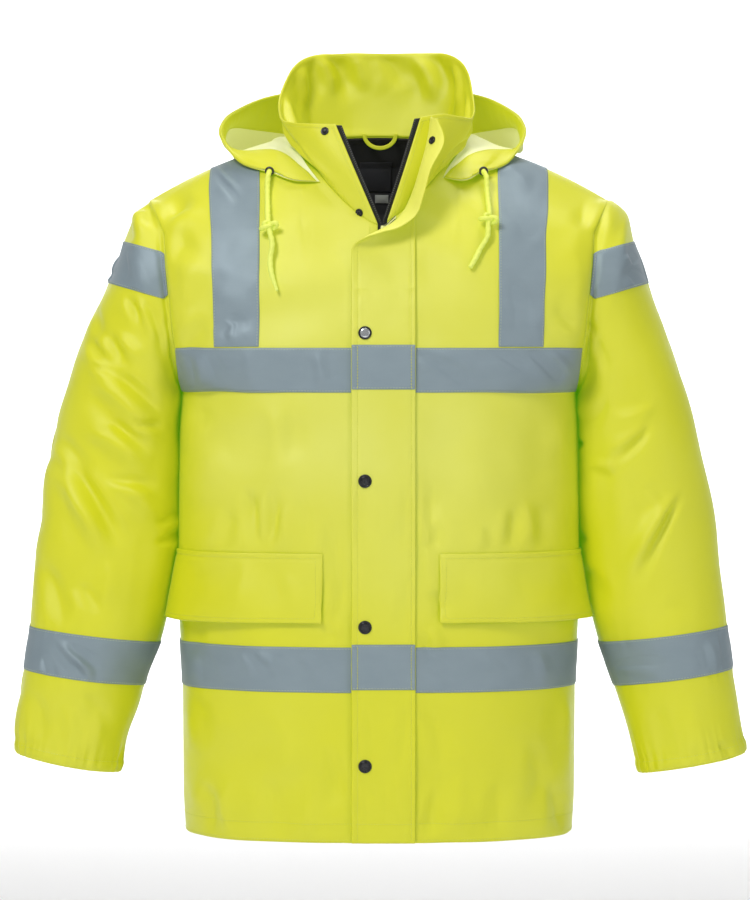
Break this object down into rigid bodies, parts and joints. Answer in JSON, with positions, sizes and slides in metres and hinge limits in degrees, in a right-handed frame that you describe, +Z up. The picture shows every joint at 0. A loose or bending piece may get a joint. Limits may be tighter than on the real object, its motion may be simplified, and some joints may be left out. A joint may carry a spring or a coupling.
{
  "type": "hi-vis work jacket",
  "caption": "Hi-vis work jacket filled out as if worn: closed storm flap, reflective tape rings and braces, open stand collar and rolled-down hood.",
  "frame": {"origin": "between the shoulders at neck level, where the wearer's shoulders hold the jacket up", "axes": "+Z up, +X to the wearer's left, -Y to the front"},
  "size_m": [0.838, 0.379, 0.895],
  "materials": {
    "cloth": "fluorescent yellow woven polyester, soft sheen",
    "hood_cloth": "fluorescent yellow outside, pale coated side showing in the rolled hood",
    "cord_cloth": "soft tube cord of the same yellow cloth",
    "reflective_tape": "grey-blue retroreflective tape",
    "zip_tape": "black woven zip tape",
    "slider_metal": "black enamelled slider",
    "pull_plastic": "pale yellow moulded pull tab",
    "stud_black": "black lacquered press studs",
    "stud_bright": "polished press stud cap",
    "eyelet_metal": "dark metal eyelets",
    "lining": "black lining",
    "label": "dark woven label, bare",
    "size_label": "grey woven label, bare",
    "thread": "yellow-green sewing thread",
    "zip_teeth": "dark grey moulded zip teeth"
  },
  "bodies": {
    "jacket": {"back": "cloth", "back_chest_tape": "reflective_tape", "back_lower_tape": "reflective_tape", "collar": "cloth", "collar_stud_1": "stud_black", "collar_stud_2": "stud_black", "flap_chest_tape": "reflective_tape", "flap_lower_tape": "reflective_tape", "flap_socket": "stud_black", "flap_stud_1": "stud_bright", "flap_stud_2": "stud_black", "flap_stud_3": "stud_black", "flap_stud_4": "stud_black", "hanger_loop": "cloth", "hood": "hood_cloth", "hood_facing": "cloth", "left_brace_back": "reflective_tape", "left_brace_front": "reflective_tape", "left_chest_tape": "reflective_tape", "left_cord_knot": "cord_cloth", "left_drawcord": "cord_cloth", "left_eyelet": "eyelet_metal", "left_front": "cloth", "left_lower_tape": "reflective_tape", "left_pocket_flap": "cloth", "left_sleeve": "cloth", "left_sleeve_lower_tape": "reflective_tape", "left_sleeve_upper_tape": "reflective_tape", "left_zip_tape": "zip_tape", "neck_label": "label", "neck_lining": "lining", "right_brace_back": "reflective_tape", "right_brace_front": "reflective_tape", "right_chest_tape": "reflective_tape", "right_cord_knot": "cord_cloth", "right_drawcord": "cord_cloth", "right_eyelet": "eyelet_metal", "right_front": "cloth", "right_lower_tape": "reflective_tape", "right_pocket_flap": "cloth", "right_sleeve": "cloth", "right_sleeve_lower_tape": "reflective_tape", "right_sleeve_upper_tape": "reflective_tape", "right_zip_tape": "zip_tape", "size_label": "size_label", "storm_flap": "cloth", "zip_slider": "slider_metal"},
    "pull_tab": {"zip_pull_tab": "pull_plastic"}
  },
  "joints": [
    {"name": "pull_tab_swing", "type": "hinge", "parent": "jacket", "child": "pull_tab", "pos_m": [0.004, -0.12795, -0.11202], "axis": [0, -0.4439, -0.8961], "range_deg": [0, 150]}
  ]
}
